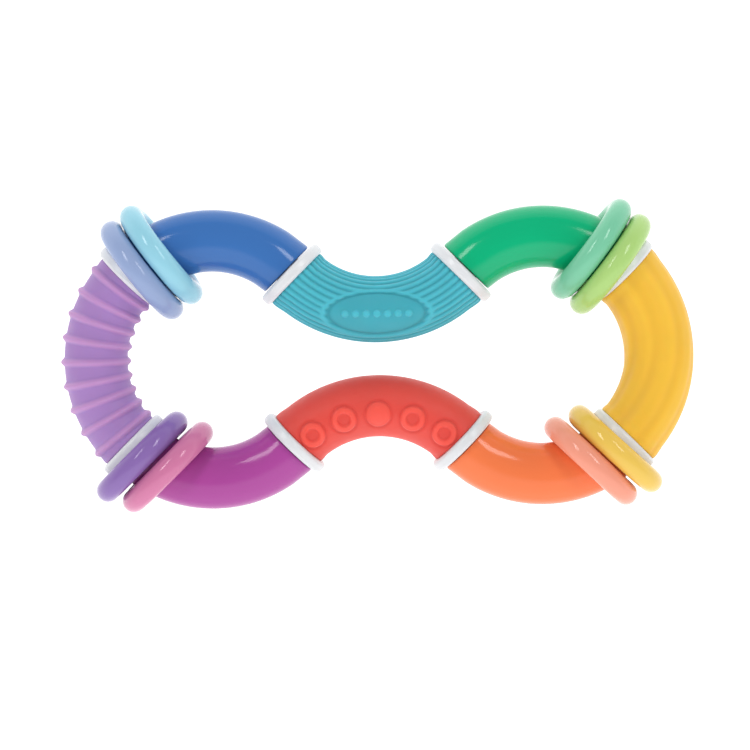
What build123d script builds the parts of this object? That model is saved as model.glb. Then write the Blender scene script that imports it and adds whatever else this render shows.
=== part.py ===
from build123d import *
from math import cos, degrees, pi, radians, sin, sqrt
import os

# A twisting teether: eight quarter-turn segments close into a flat peanut-shaped loop in the XY plane.
# Four glossy tubes and four soft-sleeved cores take turns, and each swivels on its neighbours.
# The origin is the middle of the loop. +X runs along it, and +Z is its front.

# Loop, in millimetres and degrees
TUBE_ARC_R = 29.1       # centreline radius of a glossy tube
SLEEVE_ARC_R = 30.5     # centreline radius of a sleeved core
ARC_HALF = 45.0         # half of a segment's turn
STRAIGHT = 1.4          # straight run between a sleeved arc and a glossy one
FLANGE_T = 3.0          # white flange between a sleeve and the next tube, centred on the straight run
RUN_GAP = 0.3           # gap between a flange and the next tube's end face

# Glossy tube, in two half shells
TUBE_R = 8.1
TUBE_WALL = 1.6
TUBE_END_ROUND = 0.35
BULKHEAD_T = 2.0        # end wall that holds the neighbour's spigot
POCKET_R = 5.6          # room behind the end wall for the spigot's lip
POCKET_T = 2.2
SEAM = 0.2              # groove along the parting line

# Core, in two half shells
CORE_R = 5.6
CORE_WALL = 1.3
CORE_BORE_R = 2.4       # hollow through flange and spigot
FLANGE_R = 10.1
FLANGE_ROUND = 1.0
NECK_R = 4.0
BORE_R = 4.06           # running clearance of 0.06 on the neck
LIP_R = 5.2
LIP_T = 1.2
LIP_CHAMFER = 0.4
LIP_GAP = 0.15          # end play behind the end wall
OPEN_NECK_R = 3.5       # slack spigot of the pivot that closes the loop
OPEN_LIP_GAP = 0.5

# Sleeves
COLLAR_T = 1.8          # slightly thicker rim at each end
COLLAR_HEIGHT = 0.3
RIBBED_R = 8.2
RIBS = 9
RIB_STEP = 9.4          # degrees between ribs
RIB_R = 0.93            # half-round bead
GROOVED_R = 8.7
GROOVES = 32
GROOVE_R = 0.5
PAD_LENGTH = 26.4       # smooth oval pad on the front
PAD_WIDTH = 11.0
PAD_SHIFT = 0.9         # its middle is this far outside the arc's centreline
FLUTED_R = 9.0
FLUTES = 9
FLUTE_R = 4.0
FLUTE_DEPTH = 0.3
DOTTED_R = 8.05
DOT_R = 3.6             # raised ring-shaped dots in a row on the front
DOT_HOLE_R = 1.65
DOT_STEP = 17.0         # degrees between dots
DOT_SHIFT = 1.6         # the row's arc is moved this far, away from the middle of the loop
DOT_HEIGHT = 0.5

# Loose rings
RING_R = 12.5           # centre of the round section
RING_SECTION_R = 3.05

FLANGE_SET = (FLANGE_T - STRAIGHT) / 2                  # how far a flange reaches into the arcs beside it
TUBE_SET = FLANGE_SET + RUN_GAP                         # how far a tube's end face is inside its arc
TUBE_FACE = FLANGE_T - FLANGE_SET + RUN_GAP             # the same face, measured from the sleeved arc's end
DIAGONAL = sqrt(0.5)
END_X = 2 * (TUBE_ARC_R + STRAIGHT) * DIAGONAL          # arc centre of an end segment
SIDE_X = (TUBE_ARC_R + SLEEVE_ARC_R + STRAIGHT) * DIAGONAL  # arc centre of a glossy tube
SIDE_Y = (SLEEVE_ARC_R + STRAIGHT - TUBE_ARC_R) * DIAGONAL
MIDDLE_Y = 2 * SLEEVE_ARC_R * DIAGONAL                  # arc centre of a middle segment

# Each segment is drawn about its arc centre with the middle of its arc on +X, then placed.
SLEEVED = {
    "purple": Pos(-END_X, 0, 0) * Rot(0, 0, 180),
    "teal": Pos(0, MIDDLE_Y, 0) * Rot(0, 0, -90),
    "yellow": Pos(END_X, 0, 0),
    "red": Pos(0, -MIDDLE_Y, 0) * Rot(0, 0, 90),
}
GLOSSY = {
    "blue": Pos(-SIDE_X, SIDE_Y, 0) * Rot(0, 0, 90),
    "green": Pos(SIDE_X, SIDE_Y, 0) * Rot(0, 0, 90),
    "orange": Pos(SIDE_X, -SIDE_Y, 0) * Rot(0, 0, -90),
    "magenta": Pos(-SIDE_X, -SIDE_Y, 0) * Rot(0, 0, -90),
}
# The loop closes with the purple core's slack spigot in the magenta tube, at this end of the core.
SLACK_SIDES = {"purple": (1,)}

# Ring name: tube, place along its arc, offset outwards from its centreline, lean in the plane of the loop,
# and tip of its front towards greater angles. Angles are in degrees.
RINGS = {
    "periwinkle_ring": ("blue", 39.7, -0.9, -2.5, 0.0),
    "light_blue_ring": ("blue", 26.7, -0.4, 10.3, 0.0),
    "lime_ring": ("green", -39.7, -1.0, 2.6, 0.0),
    "mint_ring": ("green", -26.8, -0.4, -10.3, 0.0),
    "pale_yellow_ring": ("orange", 39.7, 0.5, 7.4, -1.0),
    "salmon_ring": ("orange", 25.6, -0.4, 20.7, 0.4),
    "violet_ring": ("magenta", -39.2, 0.8, -6.7, 0.0),
    "pink_ring": ("magenta", -25.2, -0.4, -20.7, 0.9),
}


def bend(section, arc_r, half=ARC_HALF):
    """Sweep a section, drawn about the centreline, round the arc."""
    placed = Plane.XZ * Pos(arc_r, 0) * section
    return Rot(0, 0, -half) * revolve(placed, Axis.Z, 2 * half)


def across(arc_r, angle):
    """Plane square to the centreline at an angle round the arc, its normal towards greater angles."""
    a = radians(angle)
    radial = (cos(a), sin(a), 0)
    return Plane((arc_r * cos(a), arc_r * sin(a), 0), x_dir=radial, z_dir=(-sin(a), cos(a), 0))


def end(arc_r, side):
    """Plane on an end of the arc, its normal pointing out of the segment."""
    plane = across(arc_r, side * ARC_HALF)
    return plane if side > 0 else Plane(plane.origin, x_dir=plane.x_dir, z_dir=-plane.z_dir)


def disc(arc_r, side, radius, start, length):
    """Cylinder on an end's axis, from start to start + length outside the end."""
    centred = (Align.CENTER, Align.CENTER, Align.MIN)
    return end(arc_r, side) * Pos(0, 0, start) * Cylinder(radius, length, align=centred)


def trimmed(solid, arc_r, depth):
    """Cut both ends off square to the flanges, a depth inside the arc's ends."""
    for side in (-1, 1):
        solid -= disc(arc_r, side, FLANGE_R, -depth, FLANGE_T)
    return solid


def halves(solid):
    """Split at the plane of the loop into front and back."""
    size = 4 * SLEEVE_ARC_R
    front = solid & Pos(0, 0, size / 2) * Box(size, size, size)
    back = solid & Pos(0, 0, -size / 2) * Box(size, size, size)
    return {"front": front, "back": back}


def tube():
    """Hollow glossy tube with an end wall, bore and lip pocket at each end."""
    body = trimmed(bend(Circle(TUBE_R), TUBE_ARC_R), TUBE_ARC_R, TUBE_SET)
    rims = body.edges().filter_by(lambda e: abs(e.length - 2 * pi * TUBE_R) < SEAM)
    body = fillet(rims, TUBE_END_ROUND)
    end_depth = TUBE_SET + BULKHEAD_T + POCKET_T
    cavity_half = ARC_HALF - degrees((end_depth - POCKET_T / 2) / TUBE_ARC_R)
    body -= bend(Circle(TUBE_R - TUBE_WALL), TUBE_ARC_R, cavity_half)
    for side in (-1, 1):
        body -= disc(TUBE_ARC_R, side, POCKET_R, -end_depth, POCKET_T)
        body -= disc(TUBE_ARC_R, side, BORE_R, -end_depth, end_depth)
    groove = Rectangle(SEAM, SEAM, rotation=45)
    for edge in (-TUBE_R, TUBE_R):
        body -= bend(Pos(edge, 0) * groove, TUBE_ARC_R)
    return body


def spigot(side, slack):
    """Neck through the next tube's end wall, and the lip that keeps it there."""
    neck_r = OPEN_NECK_R if slack else NECK_R
    lip_start = TUBE_FACE + BULKHEAD_T + (OPEN_LIP_GAP if slack else LIP_GAP)
    neck = disc(SLEEVE_ARC_R, side, neck_r, 0, lip_start)
    lip = disc(SLEEVE_ARC_R, side, LIP_R, lip_start, LIP_T)
    outward = Axis(end(SLEEVE_ARC_R, side).origin, end(SLEEVE_ARC_R, side).z_dir)
    return neck + chamfer(lip.faces().sort_by(outward)[-1].edges(), LIP_CHAMFER)


def core(slack_sides=()):
    """Hollow white core with a flange and a snap spigot at each end."""
    body = bend(Circle(CORE_R) - Circle(CORE_R - CORE_WALL), SLEEVE_ARC_R)
    for side in (-1, 1):
        flange = disc(SLEEVE_ARC_R, side, FLANGE_R, -FLANGE_SET, FLANGE_T)
        body += fillet(flange.edges().filter_by(GeomType.CIRCLE), FLANGE_ROUND)
        body += spigot(side, side in slack_sides)
        body -= disc(SLEEVE_ARC_R, side, CORE_BORE_R, -CORE_R / 2, 4 * CORE_R)
    return body


def sleeve_tube(section, radius):
    """Soft tube of the given outer section and radius round a core, with a collar at each end."""
    body = bend(section, SLEEVE_ARC_R)
    for side in (-1, 1):
        body += disc(SLEEVE_ARC_R, side, radius + COLLAR_HEIGHT, -FLANGE_SET - COLLAR_T, COLLAR_T)
    return trimmed(body, SLEEVE_ARC_R, FLANGE_SET) - bend(Circle(CORE_R), SLEEVE_ARC_R)


def ribbed_sleeve():
    """Sleeve with raised hoops."""
    body = sleeve_tube(Circle(RIBBED_R), RIBBED_R)
    for i in range(RIBS):
        body += across(SLEEVE_ARC_R, (i - (RIBS - 1) / 2) * RIB_STEP) * Torus(RIBBED_R, RIB_R)
    return body


def grooved_sleeve():
    """Sleeve with lengthwise grooves and a smooth oval pad on the front."""
    grooves = PolarLocations(GROOVED_R + GROOVE_R / 4, GROOVES, start_angle=180 / GROOVES)
    section = Circle(GROOVED_R) - grooves * Circle(GROOVE_R)
    oval = Pos(SLEEVE_ARC_R + PAD_SHIFT, 0, CORE_R) * Ellipse(PAD_WIDTH / 2, PAD_LENGTH / 2)
    pad = extrude(oval, 2 * CORE_R) & bend(Circle(GROOVED_R), SLEEVE_ARC_R)
    return sleeve_tube(section, GROOVED_R) + pad


def fluted_sleeve():
    """Sleeve with broad shallow flutes."""
    flutes = PolarLocations(FLUTED_R + FLUTE_R - FLUTE_DEPTH, FLUTES) * Circle(FLUTE_R)
    return sleeve_tube(Circle(FLUTED_R) - flutes, FLUTED_R)


def dotted_sleeve():
    """Smooth sleeve with a row of raised rings on the front and a button in their middle."""
    body = sleeve_tube(Circle(DOTTED_R), DOTTED_R)
    skin = bend(Circle(DOTTED_R + DOT_HEIGHT) - Circle(CORE_R), SLEEVE_ARC_R)
    for i in range(-2, 3):
        dot = Circle(DOT_R) if i == 0 else Circle(DOT_R) - Circle(DOT_HOLE_R)
        along_row = Pos(-DOT_SHIFT, 0, 0) * Rot(0, 0, i * DOT_STEP) * Pos(SLEEVE_ARC_R, 0, 0)
        body += along_row * extrude(dot, 2 * TUBE_R) & skin
    return body


def loose_ring(place, offset, lean, tip):
    """Round hoop about a tube."""
    a = radians(place)
    centre = Pos((TUBE_ARC_R + offset) * cos(a), (TUBE_ARC_R + offset) * sin(a), 0)
    return centre * Rot(0, 0, place + lean) * Rot(90 - tip, 0, 0) * Torus(RING_R, RING_SECTION_R)


def build():
    """All nodes, by name."""
    nodes = {}
    tube_halves = halves(tube())
    for name, place in GLOSSY.items():
        for half, solid in tube_halves.items():
            nodes[f"{name}_tube_{half}"] = place * solid
    for name, place in SLEEVED.items():
        for half, solid in halves(core(SLACK_SIDES.get(name, ()))).items():
            nodes[f"{name}_core_{half}"] = place * solid
    nodes["purple_ribbed_sleeve"] = SLEEVED["purple"] * ribbed_sleeve()
    nodes["teal_grooved_sleeve"] = SLEEVED["teal"] * grooved_sleeve()
    nodes["yellow_fluted_sleeve"] = SLEEVED["yellow"] * fluted_sleeve()
    nodes["red_dotted_sleeve"] = SLEEVED["red"] * dotted_sleeve()
    for name, (tube_name, *pose) in RINGS.items():
        nodes[name] = GLOSSY[tube_name] * loose_ring(*pose)
    return nodes


os.makedirs("parts", exist_ok=True)
for node, shape in build().items():
    export_step(shape, f"parts/{node}.step")
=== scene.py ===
import math

import bpy
import numpy as np
from mathutils import Matrix, Vector


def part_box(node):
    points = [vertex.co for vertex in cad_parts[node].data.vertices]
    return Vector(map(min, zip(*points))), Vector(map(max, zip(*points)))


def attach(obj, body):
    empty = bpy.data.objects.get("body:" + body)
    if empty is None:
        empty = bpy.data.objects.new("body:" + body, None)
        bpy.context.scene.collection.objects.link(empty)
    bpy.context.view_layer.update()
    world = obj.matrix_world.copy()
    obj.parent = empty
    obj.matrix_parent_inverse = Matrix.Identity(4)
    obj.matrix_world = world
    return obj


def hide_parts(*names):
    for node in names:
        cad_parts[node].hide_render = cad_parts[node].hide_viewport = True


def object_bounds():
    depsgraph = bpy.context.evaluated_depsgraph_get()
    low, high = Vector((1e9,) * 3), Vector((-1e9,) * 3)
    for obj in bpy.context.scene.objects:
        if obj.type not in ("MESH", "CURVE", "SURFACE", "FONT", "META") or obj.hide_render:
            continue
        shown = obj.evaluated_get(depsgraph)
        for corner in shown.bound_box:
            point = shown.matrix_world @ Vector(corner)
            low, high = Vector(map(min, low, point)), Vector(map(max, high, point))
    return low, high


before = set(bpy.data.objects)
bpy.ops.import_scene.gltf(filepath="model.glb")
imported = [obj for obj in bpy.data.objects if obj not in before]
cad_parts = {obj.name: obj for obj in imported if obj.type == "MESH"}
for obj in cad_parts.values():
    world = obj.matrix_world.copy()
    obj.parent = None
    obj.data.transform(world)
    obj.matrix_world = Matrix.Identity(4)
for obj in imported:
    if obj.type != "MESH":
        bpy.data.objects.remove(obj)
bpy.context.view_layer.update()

MM = 0.001

# Driving dimensions, in millimetres and degrees

# which way each segment's arc bulges, from +X towards +Y
SLEEVED = {"purple": 180.0, "teal": -90.0, "yellow": 0.0, "red": 90.0}
GLOSSY = {"blue": 90.0, "green": 90.0, "orange": -90.0, "magenta": -90.0}

TUBE_ARC_R = 29.1
SLEEVE_ARC_R = 30.5
ARC_HALF = 45.0
FLANGE_SET = 0.8        # a sleeve ends this far inside its arc, cut parallel to the flange
TUBE_SET = 1.1          # and a glossy tube this far
TUBE_R = 8.1
TUBE_WALL = 1.6
TUBE_END_ROUND = 0.5
# the wall, bore and pocket round a core's straight neck and lip follow the arc, so they are eased a little
BULKHEAD_T = 1.6
BORE_R = 4.3
POCKET_R = 5.8
POCKET_T = 2.2
INNER_ROWS = (0.5, 0.8)     # rows of the inner wall just past the pocket
PLAIN_START = 1.0           # and where the evenly spaced rows begin
TUBE_STATIONS = 90
TUBE_AROUND = 65
SEAM_DEPTH = 0.12

CORE_R = 5.6
SLEEVE_END_ROUND = 0.4
FLARE = 0.3
FLARE_FLAT = 0.6
FLARE_LENGTH = 3.4

RIBBED_R = 8.2
RIBS = 9
RIB_STEP = 9.6
RIB_HEIGHT = 0.93
RIB_HALF_WIDTH = 1.4
RIB_FULLNESS = 0.85     # under 1, a rib's section is fuller than a cosine

GROOVED_R = 8.7
GROOVES = 32
GROOVE_DEPTH = 0.36
GROOVE_SHARPNESS = 0.5  # under 1, a groove is narrower than the land beside it
PAD_LENGTH = 27.0
PAD_WIDTH = 11.6
PAD_SHIFT = 0.9
PAD_DEPTH = 0.22
PAD_EDGE = 0.5
PAD_RIM = (0.3, 0.32)   # how far outside the oval's edge its plain rim lies, and the rim's half width
PAD_LINE = (0.3, 0.28)  # how far inside it a fine line lies, and the line's half width
PAD_LINE_DEPTH = 0.22
NUBS = 7
NUB_STEP = 2.75
NUB_R = 1.2
NUB_TOP = 0.45          # the flat top's share of a nub's radius
NUB_HEIGHT = 0.38

FLUTED_R = 9.0
FLUTES = 9
FLUTE_DEPTH = 0.13
FLUTE_START = 83.0
FLUTE_TWIST = 28.0
FLUTE_WAVER = 0.08      # radians, either way,
WAVER_RATE = 3.1        # at so many radians to half the sleeve's length
WAVER_START = 0.6
BROAD_SHARE = 0.7
FINE_SHARE = 0.3        # of finer flutes, twice as many, which twist less
FINE_TWIST = 0.6
FINE_START = 1.3

DOTTED_R = 8.05
DOTS_EACH_SIDE = 2
DOT_R = 3.5
DOT_HOLE_R = 1.75
DOT_STEP = 17.0
DOT_SHIFT = 1.6
DOT_HEIGHT = 0.5
DOT_EDGE = 0.7
HOLE_EDGE = (-0.42, 0.28)   # where a hole's wall runs, either side of its radius
BUTTON_STEP = (0.55, 0.75)  # where the middle dot's low step runs, as shares of its radius
BUTTON_RIM = 0.8            # its rim's share of its height
HOLE_FLOOR = 0.1
MOAT_DEPTH = 0.2
MOAT = (0.1, 0.35)          # how far outside a dot its moat lies, and the moat's half width

RING_AROUND = 160
RING_SECTION = 56

# Looks: surface roughness and, in millimetres, how far a bump stands

TUBE_ROUGHNESS = 0.12
RING_ROUGHNESS = 0.07
SILICONE_ROUGHNESS = 0.55
CORE_ROUGHNESS = 0.35
ORANGE_PEEL = 0.03
SILICONE_GRAIN = 0.04
CORE_GRAIN = 0.03

# Stage, lights and camera, in metres and degrees

FLOOR_DROP = 0.090      # the floor lies clear of the loop when it is folded
FLOOR_HALF_SIZE = 3.0
# the tent's strength, and where one turns into another, as parts of a direction along Y and along Z
NEAR_SIDE_LIGHT = 1.52
FAR_SIDE_LIGHT = 0.34
SIDE_BAND = (-0.50, -0.25)
HORIZON_LIGHT = 1.0
HORIZON_BAND = (0.15, 0.35)
LAMP_NEAR_END = (0.40, 0.22)
LAMP_FAR_END = (0.38, 0.66)
LAMP_HEIGHT = 0.60
LAMP_WIDTH = 0.17
LAMP_POWER = 1.9        # watts
CAMERA_DISTANCE = 0.588
VIEW_WIDTH = 0.196335   # how much of the loop's plane the picture spans
SENSOR_WIDTH = 36.0     # millimetres
# the middle of the loop lies a little right of and above the middle of the picture, in shares of its width
SHIFT_X, SHIFT_Y = -1 / 300, -7 / 300
PITCH, ROLL = -3.0, -0.79
CLIP_START, CLIP_END = 0.01, 10.0


def smooth(x, lo, hi):
    """0 below lo, 1 above hi, and a smooth step between."""
    t = np.clip((x - lo) / (hi - lo), 0.0, 1.0)
    return t * t * (3.0 - 2.0 * t)


def bell(x, half_width):
    """1 at 0, falling smoothly to nearly nothing at two half widths."""
    return np.exp(-(x / half_width) ** 2)


# Meshes

def new_object(name, vertices, faces, sharp=35.0, relief=None):
    """Smooth-shaded mesh object from vertices in millimetres, with edges sharper than an angle kept crisp."""
    mesh = bpy.data.meshes.new(name)
    mesh.from_pydata([tuple(v) for v in np.asarray(vertices) * MM], [], faces)
    mesh.update()
    if relief is not None:
        attribute = mesh.attributes.new("relief", "FLOAT", "POINT")
        attribute.data.foreach_set("value", np.asarray(relief, dtype=np.float32))
    mesh.shade_smooth()
    mesh.set_sharp_from_angle(angle=math.radians(sharp))
    obj = bpy.data.objects.new(name, mesh)
    bpy.context.scene.collection.objects.link(obj)
    return obj


def grid_faces(rows, columns, close_columns=True):
    """Quads of a grid of rows by columns, whose last row joins its first."""
    faces = []
    for i in range(rows):
        for j in range(columns if close_columns else columns - 1):
            i1, j1 = (i + 1) % rows, (j + 1) % columns
            faces.append((i * columns + j, i * columns + j1, i1 * columns + j1, i1 * columns + j))
    return faces


def half_turn(rho, trim):
    """Angle from the middle of an arc to its cut end, which is parallel to the arc's end plane, inside it."""
    return math.radians(ARC_HALF) - np.arcsin(trim / rho)


def plan(arc_r, trim, s, r, v):
    """Where a point of the skin is in the plane of the loop, about the arc's centre."""
    rho = arc_r + r * np.cos(v)
    a = s / (arc_r * half_turn(arc_r, trim)) * half_turn(rho, trim)
    return rho * np.cos(a), rho * np.sin(a)


def on_arc(arc_r, trim, s, r, v):
    """Points by distance along the centreline from its middle, section radius and section angle."""
    x, y = plan(arc_r, trim, s, r, v)
    return np.stack([x, y, r * np.sin(v) + 0.0 * x], -1)


def placed(points, centre, turn):
    """Local points of a segment in the row frame."""
    c, s = math.cos(math.radians(turn)), math.sin(math.radians(turn))
    x, y = points[..., 0], points[..., 1]
    return np.stack([centre[0] + c * x - s * y, centre[1] + s * x + c * y, points[..., 2]], -1)


def arc_centre(node, turn, reach):
    """Centre of a segment's arc, in from a node's far side by the arc's radius and the node's own."""
    lo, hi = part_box(node)
    mid = (lo + hi) / 2 / MM
    c, s = round(math.cos(math.radians(turn))), round(math.sin(math.radians(turn)))
    if c:
        return ((hi.x if c > 0 else lo.x) / MM - c * reach, mid.y)
    return (mid.x, (hi.y if s > 0 else lo.y) / MM - s * reach)


def tube_profile():
    """Stations of a glossy tube's wall: distance along the arc, with the outer and then the inner radius."""
    half = TUBE_ARC_R * half_turn(TUBE_ARC_R, TUBE_SET)
    depth = BULKHEAD_T + POCKET_T
    rounding = [(-half + TUBE_END_ROUND * (1 - math.sin(a)), TUBE_R - TUBE_END_ROUND * (1 - math.cos(a)))
                for a in np.radians([90, 75, 60, 45, 30, 15, 0])]
    inner_r = TUBE_R - TUBE_WALL
    pocket = [(-half, BORE_R), (-half + BULKHEAD_T, BORE_R), (-half + BULKHEAD_T, POCKET_R),
              (-half + depth, POCKET_R), (-half + depth, inner_r)]
    pocket += [(-half + depth + row, inner_r) for row in INNER_ROWS]
    plain = np.linspace(-half + depth + PLAIN_START, half - depth - PLAIN_START, TUBE_STATIONS)
    outer = rounding + [(s, TUBE_R) for s in plain] + [(-s, r) for s, r in rounding[::-1]]
    inner = pocket + [(s, inner_r) for s in plain] + [(-s, r) for s, r in pocket[::-1]]
    return np.array(outer), np.array(inner)


def tube_half(name, centre, turn, front):
    """Closed half shell of a glossy tube, a little thinner along its edges, where the parting line runs."""
    outer, inner = tube_profile()
    edge = SEAM_DEPTH / TUBE_R
    v = np.concatenate([[0.0, edge], np.linspace(0.0, math.pi, TUBE_AROUND)[1:-1], [math.pi - edge, math.pi]])
    if not front:
        v = v + math.pi
    depth = np.zeros(len(v))
    depth[0] = depth[-1] = SEAM_DEPTH
    skin = on_arc(TUBE_ARC_R, TUBE_SET, outer[:, 0][:, None], outer[:, 1][:, None] - depth, v)
    wall = on_arc(TUBE_ARC_R, TUBE_SET, inner[:, 0][:, None], inner[:, 1][:, None], v)
    loop = np.concatenate([skin, wall[::-1]], 0)
    rows, columns = loop.shape[:2]
    faces = grid_faces(rows, columns, close_columns=False)
    for j, flip in ((0, False), (columns - 1, True)):
        for i in range(len(outer) - 1):
            quad = [i * columns + j, (i + 1) * columns + j,
                    (rows - 2 - i) * columns + j, (rows - 1 - i) * columns + j]
            faces.append(tuple(quad[::-1] if flip else quad))
    return new_object(name, placed(loop, centre, turn).reshape(-1, 3), faces)


def sleeve(name, centre, turn, base_r, relief, stations, around):
    """Closed sleeve: its skin has a base radius, flared and rounded ends, and a relief of (s, v)."""
    half = SLEEVE_ARC_R * half_turn(SLEEVE_ARC_R, FLANGE_SET)
    e = SLEEVE_END_ROUND
    ends = half - e * (1 - np.sin(np.radians([90, 70, 50, 30, 10])))
    s = np.concatenate([-ends[:-1], np.linspace(-half + e, half - e, stations), ends[:-1][::-1]])[:, None]
    v = np.linspace(0, 2 * math.pi, around, endpoint=False)[None, :]
    to_end = half - np.abs(s)
    flare = FLARE * (1 - smooth(to_end, FLARE_FLAT, FLARE_LENGTH))
    rounding = e - np.sqrt(np.clip(e * e - np.clip(e - to_end, 0, e) ** 2, 0, None))
    height = relief(s, v)
    skin = on_arc(SLEEVE_ARC_R, FLANGE_SET, s, base_r + flare - rounding + height, v)
    wall = on_arc(SLEEVE_ARC_R, FLANGE_SET, s[::-1], CORE_R, v)
    wall = np.concatenate([wall[:1], wall[stations // 4:-1:stations // 4], wall[-1:]], 0)
    loop = np.concatenate([skin, wall], 0)
    rows, columns = loop.shape[:2]
    heights = np.concatenate([height.ravel(), np.zeros(wall.shape[0] * columns)])
    return new_object(name, placed(loop, centre, turn).reshape(-1, 3), grid_faces(rows, columns),
                      sharp=60.0, relief=heights)


def ribs(s, v):
    """Raised hoops on radial planes of the arc."""
    x, y = plan(SLEEVE_ARC_R, FLANGE_SET, s, RIBBED_R, v)
    angle = np.arctan2(y, x)
    height = 0.0 * x
    for i in range(RIBS):
        off = (angle - math.radians((i - (RIBS - 1) / 2) * RIB_STEP)) * np.hypot(x, y)
        t = np.clip(np.abs(off) / RIB_HALF_WIDTH, 0, 1)
        height = height + RIB_HEIGHT * (0.5 + 0.5 * np.cos(math.pi * t)) ** RIB_FULLNESS
    return height


def grooves(s, v):
    """Lengthwise grooves, and a sunk oval pad with nubs on the front."""
    wave = 0.5 + 0.5 * np.cos(GROOVES * (v - math.pi / 2))
    groove = -GROOVE_DEPTH * (1 - wave ** GROOVE_SHARPNESS)
    x, y = plan(SLEEVE_ARC_R, FLANGE_SET, s, GROOVED_R, v)
    x = x - SLEEVE_ARC_R - PAD_SHIFT
    oval = np.sqrt((y / (PAD_LENGTH / 2)) ** 2 + (x / (PAD_WIDTH / 2)) ** 2)
    away = (oval - 1) * PAD_WIDTH / 2
    front = np.sin(v) > 0
    inside = np.where(front, 1 - smooth(away, -PAD_EDGE, 0.0), 0.0)
    rim = np.where(front, bell(away - PAD_RIM[0], PAD_RIM[1]), 0.0)
    line = np.where(front, bell(away + PAD_LINE[0], PAD_LINE[1]), 0.0)
    height = groove * (1 - inside) * (1 - rim) - PAD_DEPTH * inside - PAD_LINE_DEPTH * line
    for i in range(NUBS):
        d = np.hypot(y - (i - (NUBS - 1) / 2) * NUB_STEP, x)
        nub = 1 - smooth(d, NUB_TOP * NUB_R, NUB_R)
        height = height + np.where(front, NUB_HEIGHT * nub, 0.0)
    return height


def flutes(s, v):
    """Broad soft flutes, with finer ones between, that twist and waver a little."""
    along = s / (SLEEVE_ARC_R * half_turn(SLEEVE_ARC_R, FLANGE_SET))
    waver = FLUTE_WAVER * np.sin(WAVER_RATE * along + WAVER_START)
    turn = math.radians(FLUTE_TWIST) * along / 2 + waver
    broad = np.cos(FLUTES * (v + turn - math.radians(FLUTE_START)))
    fine = np.cos(2 * FLUTES * (v + FINE_TWIST * turn) + FINE_START + along)
    return FLUTE_DEPTH * (BROAD_SHARE * broad + FINE_SHARE * fine)


def dots(s, v):
    """Raised rings in a row on the front, with a button in their middle."""
    x, y = plan(SLEEVE_ARC_R, FLANGE_SET, s, DOTTED_R, v)
    height = 0.0 * x
    front = np.sin(v) > 0
    for i in range(-DOTS_EACH_SIDE, DOTS_EACH_SIDE + 1):
        at = math.radians(i * DOT_STEP)
        d = np.hypot(x + DOT_SHIFT - SLEEVE_ARC_R * math.cos(at), y - SLEEVE_ARC_R * math.sin(at))
        mark = DOT_HEIGHT * (1 - smooth(d, DOT_R - DOT_EDGE, DOT_R))
        if i == 0:
            step = 1 - smooth(d, BUTTON_STEP[0] * DOT_R, BUTTON_STEP[1] * DOT_R)
            mark = mark * (BUTTON_RIM + (1 - BUTTON_RIM) * step)
        else:
            hole = 1 - smooth(d, DOT_HOLE_R + HOLE_EDGE[0], DOT_HOLE_R + HOLE_EDGE[1])
            mark = mark * (1 - hole) - HOLE_FLOOR * hole
        moat = -MOAT_DEPTH * bell(d - DOT_R - MOAT[0], MOAT[1])
        height = height + np.where(front, mark + moat, 0.0)
    return height


def loose_ring(name, node):
    """Smooth hoop in the place and size of its CAD node."""
    points = np.array([v.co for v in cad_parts[node].data.vertices]) / MM
    lo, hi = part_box(node)
    centre = np.array((lo + hi) / 2) / MM
    _, axes = np.linalg.eigh(np.cov((points - centre).T))
    normal = axes[:, 0]
    away = points - centre
    height = away @ normal
    radial = np.linalg.norm(away - np.outer(height, normal), axis=1)
    section = (radial.max() - radial.min()) / 2
    middle = (radial.max() + radial.min()) / 2
    u = np.linspace(0, 2 * math.pi, RING_AROUND, endpoint=False)[:, None]
    w = np.linspace(0, 2 * math.pi, RING_SECTION, endpoint=False)[None, :]
    rho = middle + section * np.cos(w)
    loop = (centre + (rho * np.cos(u))[..., None] * axes[:, 1] + (rho * np.sin(u))[..., None] * axes[:, 2]
            + (section * np.sin(w) + 0 * u)[..., None] * normal)
    return new_object(name, loop.reshape(-1, 3), grid_faces(RING_AROUND, RING_SECTION))


# Materials

def principled(name, color, roughness, **sockets):
    """New material and its shader, with other sockets set by their names."""
    material = bpy.data.materials.new(name)
    material.use_nodes = True
    shader = material.node_tree.nodes["Principled BSDF"]
    shader.inputs["Base Color"].default_value = (*color, 1.0)
    shader.inputs["Roughness"].default_value = roughness
    for socket, value in sockets.items():
        shader.inputs[socket].default_value = value
    return material, shader


def noise(tree, scale, detail=3.0, rough=0.5):
    """Cloudy value from 0 to 1, with so many cycles to a metre."""
    coordinates = tree.nodes.new("ShaderNodeTexCoord")
    texture = tree.nodes.new("ShaderNodeTexNoise")
    texture.inputs["Scale"].default_value = scale
    texture.inputs["Detail"].default_value = detail
    texture.inputs["Roughness"].default_value = rough
    tree.links.new(coordinates.outputs["Object"], texture.inputs["Vector"])
    return texture.outputs["Fac"]


def ramp(tree, value, low, high, lo=0.3, hi=0.7):
    """Value that goes from low to high as another goes from lo to hi."""
    node = tree.nodes.new("ShaderNodeMapRange")
    node.inputs["From Min"].default_value = lo
    node.inputs["From Max"].default_value = hi
    node.inputs["To Min"].default_value = low
    node.inputs["To Max"].default_value = high
    tree.links.new(value, node.inputs["Value"])
    return node.outputs["Result"]


def mixed(tree, value, low, high):
    """Colour between two, by a value from 0 to 1."""
    mix = tree.nodes.new("ShaderNodeMix")
    mix.data_type = "RGBA"
    for socket, color in (("A", low), ("B", high)):
        if isinstance(color, tuple):
            mix.inputs[socket].default_value = (*color, 1.0)
        else:
            tree.links.new(color, mix.inputs[socket])
    tree.links.new(value, mix.inputs["Factor"])
    return mix.outputs["Result"]


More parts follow.
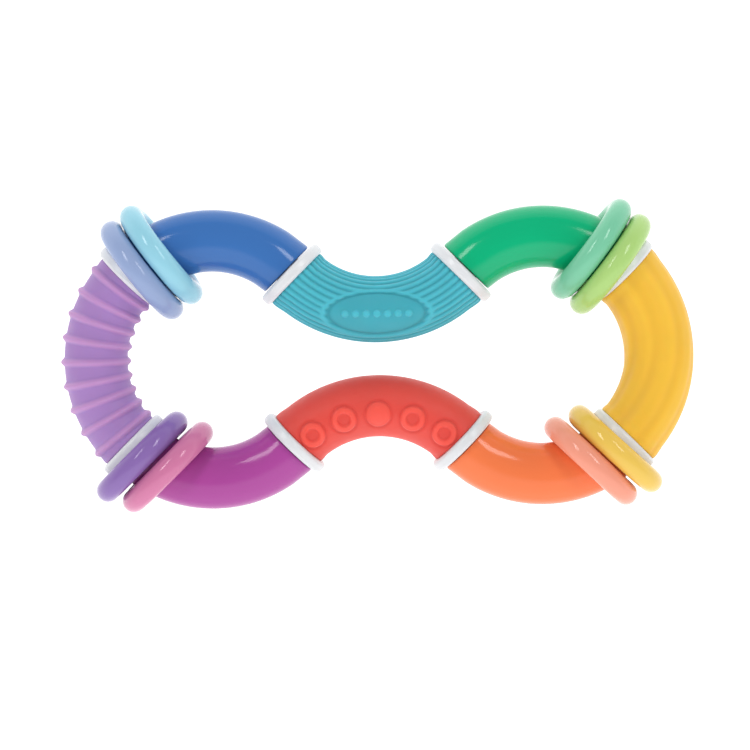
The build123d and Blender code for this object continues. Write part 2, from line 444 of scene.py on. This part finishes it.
def shade(color, amount):
    """Colour made lighter, or darker by a negative amount."""
    return tuple(min(1.0, c * (1 + amount)) for c in color)


def drifting(tree, value, color, amount):
    """Colour that drifts a little lighter and darker with a value."""
    return mixed(tree, value, shade(color, -amount), shade(color, amount))


def uneven(tree, shader, value, low, high):
    """Roughness that varies between two with a value."""
    tree.links.new(ramp(tree, value, low, high), shader.inputs["Roughness"])


def bump(tree, shader, value, distance, strength=1.0):
    """Fine relief of so many millimetres, by a value from 0 to 1."""
    node = tree.nodes.new("ShaderNodeBump")
    node.inputs["Distance"].default_value = distance * MM
    node.inputs["Strength"].default_value = strength
    tree.links.new(value, node.inputs["Height"])
    tree.links.new(node.outputs["Normal"], shader.inputs["Normal"])


def gloss(name, color, roughness):
    """Polished moulded plastic with a faint orange-peel."""
    material, shader = principled(name, color, roughness, **{"Specular IOR Level": 0.3})
    tree = material.node_tree
    tint = drifting(tree, noise(tree, scale=60.0), color, 0.03)
    tree.links.new(tint, shader.inputs["Base Color"])
    uneven(tree, shader, noise(tree, scale=220.0, detail=4.0), roughness - 0.03, roughness + 0.05)
    bump(tree, shader, noise(tree, scale=90.0, detail=2.0), ORANGE_PEEL)
    return material


def silicone(name, low, high, depths):
    """Matt moulded silicone with a fine grain: darker at its lowest relief, a painted shade of the creases,
    and lighter at its highest, a painted highlight on the raised relief.
    """
    roughness = SILICONE_ROUGHNESS
    material, shader = principled(name, high, roughness, **{
        "Subsurface Weight": 0.12, "Subsurface Scale": 0.0012, "Sheen Weight": 0.12, "Sheen Roughness": 0.5})
    tree = material.node_tree
    relief = tree.nodes.new("ShaderNodeAttribute")
    relief.attribute_name = "relief"
    # the base colour follows the height: painted shade down in the creases, painted highlight up on the
    # raised relief
    stand = ramp(tree, relief.outputs["Fac"], 0.0, 1.0, *depths)
    cloud = ramp(tree, noise(tree, scale=80.0, detail=4.0), 0.0, 1.0)
    bottom, top = (drifting(tree, cloud, color, 0.03) for color in (low, high))
    tree.links.new(mixed(tree, stand, bottom, top), shader.inputs["Base Color"])
    uneven(tree, shader, noise(tree, scale=400.0), roughness - 0.05, roughness + 0.08)
    bump(tree, shader, noise(tree, scale=1800.0, rough=0.6), SILICONE_GRAIN, strength=0.6)
    return material


def satin(name, color):
    """Moulded plastic with a soft polish."""
    roughness = CORE_ROUGHNESS
    material, shader = principled(name, color, roughness, **{"Coat Weight": 0.15, "Coat Roughness": 0.2})
    tree = material.node_tree
    tint = drifting(tree, noise(tree, scale=70.0), color, 0.02)
    tree.links.new(tint, shader.inputs["Base Color"])
    uneven(tree, shader, noise(tree, scale=300.0), roughness - 0.04, roughness + 0.06)
    bump(tree, shader, noise(tree, scale=500.0), CORE_GRAIN, strength=0.6)
    return material


def srgb(r, g, b):
    """Linear colour from 8-bit display values."""
    return tuple((c / 255 / 12.92) if c <= 10 else ((c / 255 + 0.055) / 1.055) ** 2.4 for c in (r, g, b))


CORE_WHITE = srgb(226, 228, 231)
TUBE_COLORS = {"blue": srgb(60, 114, 184), "green": srgb(0, 181, 124),
               "orange": srgb(247, 126, 74), "magenta": srgb(175, 73, 158)}
# colour at the lowest and highest relief, whose difference is painted shade in the creases and a painted
# highlight on the raised parts, and those heights in millimetres
SLEEVE_COLORS_AND_RELIEF_SHADE = {"purple": (srgb(167, 127, 193), srgb(192, 142, 200), (0.1, 0.65)),
                 "teal": (srgb(39, 151, 167), srgb(68, 187, 204), (-0.36, 0.0)),
                 "yellow": (srgb(241, 185, 44), srgb(249, 195, 49), (-0.13, 0.13)),
                 "red": (srgb(224, 65, 54), srgb(246, 82, 67), (-0.2, 0.5))}
RING_COLORS = {"periwinkle": srgb(149, 168, 208), "light_blue": srgb(150, 209, 227),
               "lime": srgb(174, 213, 125), "mint": srgb(124, 202, 165),
               "pale_yellow": srgb(240, 200, 91), "salmon": srgb(247, 160, 135),
               "violet": srgb(141, 109, 178), "pink": srgb(213, 125, 167)}


# Pieces

def use(obj, body, slot, material, *nodes):
    """Put a finished piece in place of its CAD nodes."""
    obj.data.materials.clear()
    obj.data.materials.append(material)
    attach(obj, body)
    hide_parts(*nodes)


def build_tubes():
    """The four glossy tubes, each two half shells."""
    for color, turn in GLOSSY.items():
        material = gloss(f"{color}_gloss", TUBE_COLORS[color], TUBE_ROUGHNESS)
        centre = arc_centre(f"{color}_tube_front", turn, TUBE_ARC_R + TUBE_R)
        for half in ("front", "back"):
            piece = tube_half(f"{color}_shell_{half}", centre, turn, half == "front")
            use(piece, color, f"{color}_tube", material, f"{color}_tube_{half}")


def build_sleeves():
    """The four soft sleeves, with as many stations along and points around as each relief needs."""
    reliefs = {"purple": ("purple_ribbed_sleeve", RIBBED_R, ribs, 420, 140),
               "teal": ("teal_grooved_sleeve", GROOVED_R, grooves, 260, 416),
               "yellow": ("yellow_fluted_sleeve", FLUTED_R, flutes, 110, 180),
               "red": ("red_dotted_sleeve", DOTTED_R, dots, 330, 340)}
    for color, (node, base_r, relief, stations, around) in reliefs.items():
        turn = SLEEVED[color]
        centre = arc_centre(f"{color}_core_front", turn, SLEEVE_ARC_R + CORE_R)
        piece = sleeve(f"{node}_skin", centre, turn, base_r, relief, stations, around)
        use(piece, color, f"{color}_sleeve", silicone(f"{color}_silicone", *SLEEVE_COLORS_AND_RELIEF_SHADE[color]), node)


def build_rings():
    """The eight loose rings."""
    for color, value in RING_COLORS.items():
        node = f"{color}_ring"
        piece = loose_ring(f"{node}_hoop", node)
        use(piece, node, node, gloss(f"{color}_polish", value, RING_ROUGHNESS), node)


def finish_cores():
    """White plastic on the cores, which keep their own meshes."""
    white = satin("white_plastic", CORE_WHITE)
    for color in SLEEVED:
        for half in ("front", "back"):
            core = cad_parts[f"{color}_core_{half}"]
            core.data.materials.clear()
            core.data.materials.append(white)


# Stage, lights and camera

def build_stage():
    """Plain pale floor, parallel to the loop."""
    lo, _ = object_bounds()
    size, z = FLOOR_HALF_SIZE / MM, (lo.z - FLOOR_DROP) / MM
    corners = [(-size, -size, z), (size, -size, z), (size, size, z), (-size, size, z)]
    floor = new_object("floor", corners, [(0, 1, 2, 3)])
    material, _ = principled("pale_floor", (0.3, 0.3, 0.3), 0.8,
                             **{"Emission Color": (1, 1, 1, 1), "Emission Strength": 1.0})
    floor.data.materials.append(material)


def build_lights():
    """Pale tent, and two long soft boxes over the far, upper side that give the streaks on the gloss."""
    world = bpy.data.worlds.new("studio")
    bpy.context.scene.world = world
    world.use_nodes = True
    tree = world.node_tree
    background = tree.nodes["Background"]
    background.inputs["Color"].default_value = (1, 1, 1, 1)
    # the tent is brighter on the near, lower side, and white at the horizon, where it meets the floor
    direction = tree.nodes.new("ShaderNodeTexCoord")
    split = tree.nodes.new("ShaderNodeSeparateXYZ")
    tree.links.new(direction.outputs["Generated"], split.inputs["Vector"])
    side = ramp(tree, split.outputs["Y"], NEAR_SIDE_LIGHT, FAR_SIDE_LIGHT, *SIDE_BAND)
    horizon = ramp(tree, split.outputs["Z"], HORIZON_LIGHT, 0.0, *HORIZON_BAND)
    brighter = tree.nodes.new("ShaderNodeMath")
    brighter.operation = "MAXIMUM"
    tree.links.new(side, brighter.inputs[0])
    tree.links.new(horizon, brighter.inputs[1])
    tree.links.new(brighter.outputs["Value"], background.inputs["Strength"])
    for name, sign in (("left_box", -1), ("right_box", 1)):
        near, far = (Vector((sign * x, y, LAMP_HEIGHT)) for x, y in (LAMP_NEAR_END, LAMP_FAR_END))
        strip_light(name, near, far)


def strip_light(name, near, far):
    """Long lamp from one point to another, facing the object."""
    data = bpy.data.lights.new(name, "AREA")
    data.shape = "RECTANGLE"
    data.size = (far - near).length
    data.size_y = LAMP_WIDTH
    data.energy = LAMP_POWER
    obj = bpy.data.objects.new(name, data)
    middle = (near + far) / 2
    along = (far - near).normalized()
    away = middle.normalized()
    across = away.cross(along).normalized()
    facing = along.cross(across)
    turn = Matrix((along, across, facing)).transposed().to_4x4()
    obj.matrix_world = Matrix.Translation(middle) @ turn
    bpy.context.scene.collection.objects.link(obj)


def build_camera():
    """Looks down at the front of the loop from a little above its middle."""
    data = bpy.data.cameras.new("camera")
    camera = bpy.data.objects.new("camera", data)
    bpy.context.scene.collection.objects.link(camera)
    bpy.context.scene.camera = camera
    data.sensor_width = SENSOR_WIDTH
    data.lens = CAMERA_DISTANCE / VIEW_WIDTH * SENSOR_WIDTH
    data.shift_x, data.shift_y = SHIFT_X, SHIFT_Y
    turn = Matrix.Rotation(math.radians(PITCH), 4, "X") @ Matrix.Rotation(math.radians(ROLL), 4, "Z")
    back = (turn @ Vector((0, 0, 1, 0))).to_3d()
    camera.matrix_world = Matrix.Translation(back * CAMERA_DISTANCE) @ turn
    data.clip_start, data.clip_end = CLIP_START, CLIP_END


build_tubes()
build_sleeves()
build_rings()
finish_cores()
build_camera()
build_stage()
build_lights()
bpy.context.scene.view_settings.view_transform = "Standard"
